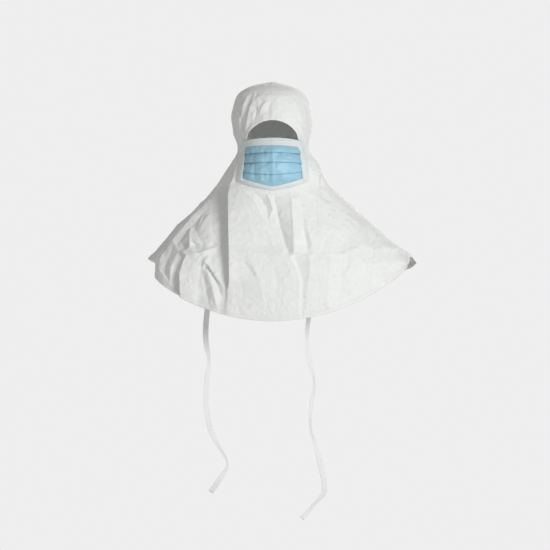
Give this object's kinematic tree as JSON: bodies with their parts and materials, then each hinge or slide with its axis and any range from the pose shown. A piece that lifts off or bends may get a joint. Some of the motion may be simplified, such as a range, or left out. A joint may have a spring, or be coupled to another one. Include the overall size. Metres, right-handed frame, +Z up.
{
  "type": "disposable hood with face mask",
  "caption": "Disposable shoulder-length hood of non-woven cloth with a pleated face mask sewn into its face opening and tie tapes hanging from the shoulders.",
  "frame": {"origin": "inside of the crown, where it rests on the top of the wearer's head", "axes": "+Z up, -Y the front of the face, +X the wearer's left"},
  "size_m": [0.5802, 0.3115, 0.946],
  "materials": {
    "hood_cloth": "matte",
    "bib_cloth": "matte",
    "seam_tape": "matte",
    "mask_blue": "matte",
    "mask_white": "matte",
    "nose_wire": "satin",
    "elastic": "matte",
    "tie_tape": "matte"
  },
  "bodies": {
    "hood": {"left_hood_panel": "hood_cloth", "right_hood_panel": "hood_cloth", "front_bib_panel": "bib_cloth", "crown_seam_tape": "seam_tape", "brow_edge_tape": "seam_tape", "hem_edge_tape": "seam_tape", "left_bib_seam_tape": "seam_tape", "right_bib_seam_tape": "seam_tape", "mask_inner_layer": "mask_white", "mask_filter_layer": "mask_white", "mask_outer_layer": "mask_blue", "mask_top_band": "mask_white", "mask_bottom_edge_tape": "mask_white", "mask_left_edge_tape": "mask_white", "mask_right_edge_tape": "mask_white", "mask_nose_wire": "nose_wire", "nape_elastic": "elastic", "nape_casing": "seam_tape", "left_tie_patch": "seam_tape", "right_tie_patch": "seam_tape"},
    "left_tie_tape": {"left_tie": "tie_tape"},
    "right_tie_tape": {"right_tie": "tie_tape"}
  },
  "joints": [
    {"name": "left_tie_swing", "type": "hinge", "parent": "hood", "child": "left_tie_tape", "pos_m": [0.106, -0.009, -0.207], "axis": [1, 0, 0], "range_deg": [-20, 20]},
    {"name": "right_tie_swing", "type": "hinge", "parent": "hood", "child": "right_tie_tape", "pos_m": [-0.106, -0.009, -0.207], "axis": [1, 0, 0], "range_deg": [-20, 20]}
  ]
}
